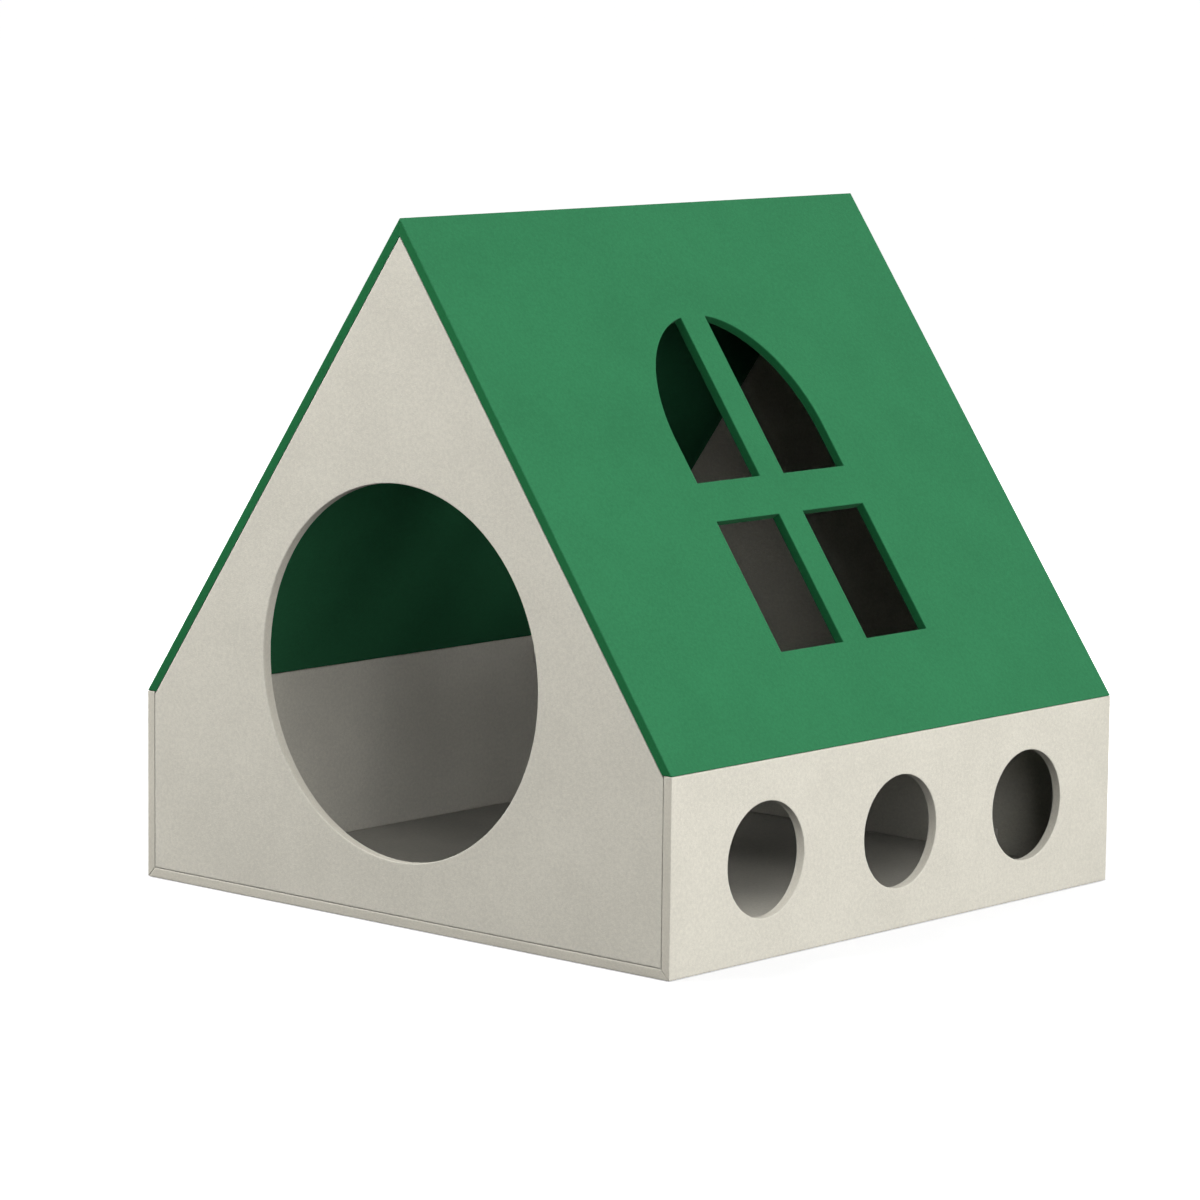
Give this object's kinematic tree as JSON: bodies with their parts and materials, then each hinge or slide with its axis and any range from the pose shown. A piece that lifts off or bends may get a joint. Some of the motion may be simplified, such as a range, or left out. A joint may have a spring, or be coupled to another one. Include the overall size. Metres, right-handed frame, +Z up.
{
  "type": "felt cat house",
  "caption": "Gabled cat house of stiff felt boards with a round door, portholes in one wall, an arched window in one roof slope, and a roof that lifts off its hook tapes.",
  "frame": {"origin": "on the surface that the house stands on, under the middle of the house", "axes": "+X to the right, the side with the portholes and the window; -Y to the front, the side with the door; +Z up"},
  "size_m": [0.39, 0.376, 0.38],
  "materials": {
    "beige_felt": "matte needled felt",
    "green_felt": "matte needled felt",
    "beige_tape": "woven nylon hook tape",
    "green_tape": "woven nylon hook tape"
  },
  "bodies": {
    "house": {"floor_panel": "beige_felt", "left_wall": "beige_felt", "right_wall": "beige_felt", "front_panel": "beige_felt", "back_panel": "beige_felt", "floor_left_tapes": "beige_tape", "floor_right_tapes": "beige_tape", "left_eave_tapes": "beige_tape", "right_eave_tapes": "beige_tape", "front_floor_tapes": "beige_tape", "back_floor_tapes": "beige_tape", "front_left_tape": "beige_tape", "front_right_tape": "beige_tape", "back_left_tape": "beige_tape", "back_right_tape": "beige_tape", "front_left_gable_tapes": "beige_tape", "front_right_gable_tapes": "beige_tape", "back_left_gable_tapes": "beige_tape", "back_right_gable_tapes": "beige_tape"},
    "roof": {"left_roof": "green_felt", "right_roof": "green_felt", "ridge_tapes": "green_tape"}
  },
  "joints": [
    {"name": "roof_lift", "type": "slide", "parent": "house", "child": "roof", "axis": [0, 0, 1], "range_m": [0, 0.28]}
  ]
}
